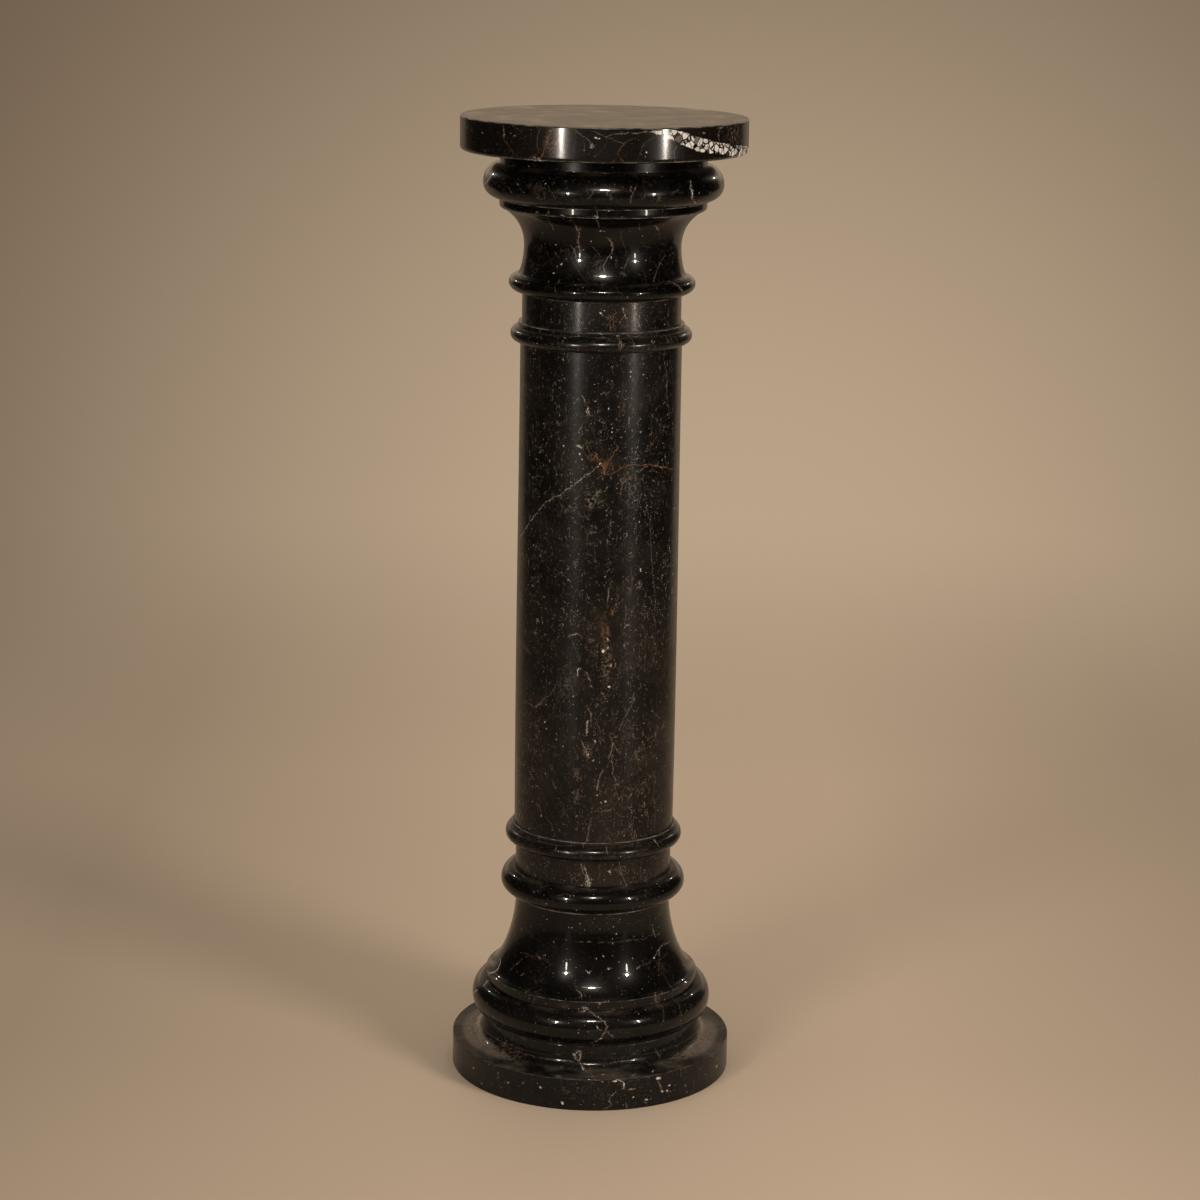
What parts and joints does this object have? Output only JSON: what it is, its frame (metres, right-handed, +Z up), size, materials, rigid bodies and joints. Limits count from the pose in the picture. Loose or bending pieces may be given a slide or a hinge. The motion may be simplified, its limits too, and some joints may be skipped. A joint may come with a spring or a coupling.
{
  "type": "marble pedestal",
  "caption": "Tall turned column pedestal of dark veined marble: round top slab, moulded capital, plain swelling shaft, flared base and round plinth.",
  "frame": {"origin": "middle of the underside of the plinth, which stands on the ground", "axes": "+Z up along the axis of the column, -Y towards the side that the picture shows, +X to the right seen from there"},
  "size_m": [0.3056, 0.3056, 1.0438],
  "materials": {
    "top_slab": "polished black marble with white breccia and veins",
    "capital": "polished black marble with fine pale veins and flecks",
    "shaft": "polished brown-black marble with white, tan and orange veins",
    "base": "polished black marble with fine pale veins and flecks",
    "plinth": "duller polished black marble, dusty in the cove"
  },
  "bodies": {
    "root": {"top_slab": "top_slab", "capital": "capital", "shaft": "shaft", "base": "base", "plinth": "plinth"}
  },
  "joints": []
}
